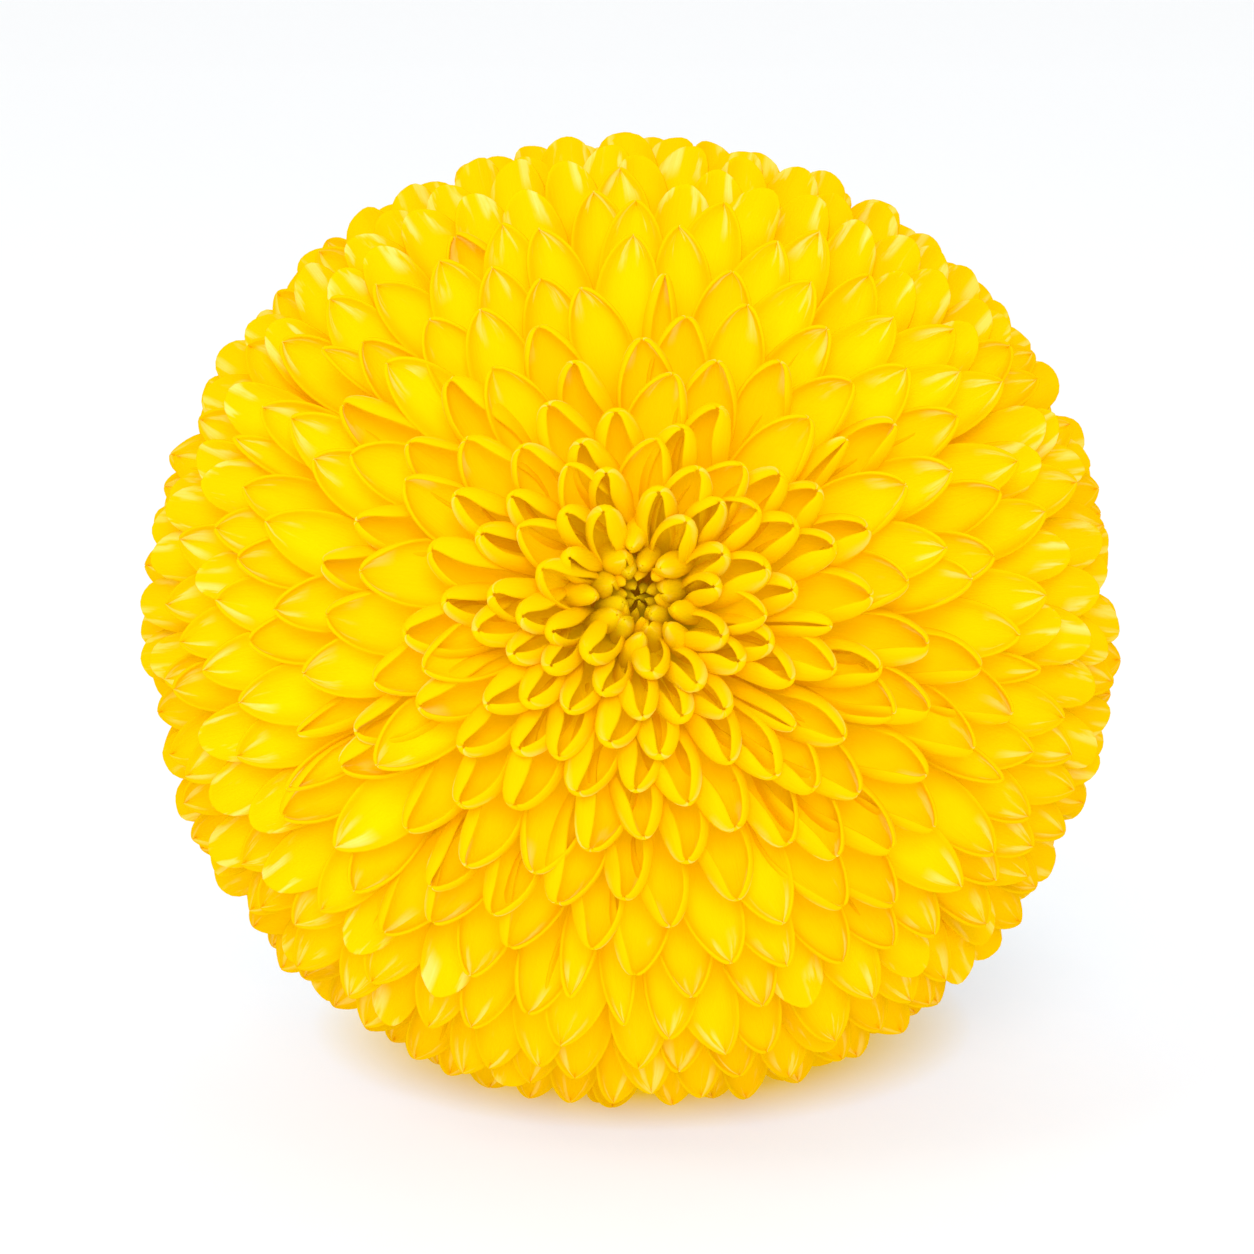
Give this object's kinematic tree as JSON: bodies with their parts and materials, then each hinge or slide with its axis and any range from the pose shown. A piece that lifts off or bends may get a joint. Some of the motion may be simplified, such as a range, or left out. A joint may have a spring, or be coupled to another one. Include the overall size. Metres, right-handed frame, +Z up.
{
  "type": "pompon chrysanthemum bloom",
  "caption": "Yellow globe-shaped pompon chrysanthemum bloom with spiralled petals, olive middle, green calyx and short cut stem, lying on its side.",
  "frame": {"origin": "bottom centre of the bloom's box, on the surface that it lies on", "axes": "+Z up; the face of the bloom looks towards -Y and is tipped up by about 15 degrees; the stem points towards +Y; +X is to the right of someone who looks at the face"},
  "size_m": [0.0598, 0.0562, 0.0587],
  "materials": {
    "petal_yellow": "soft satin petal tissue, lemon at the tips and golden in the cups",
    "young_olive": "matte young florets, olive to dull gold",
    "calyx_green": "matte green bracts with pale dry margins",
    "stem_green": "fresh ribbed stem with a pale cut end"
  },
  "bodies": {
    "root": {"petals": "petal_yellow", "centre_florets": "young_olive", "calyx": "calyx_green", "stem": "stem_green"}
  },
  "joints": []
}
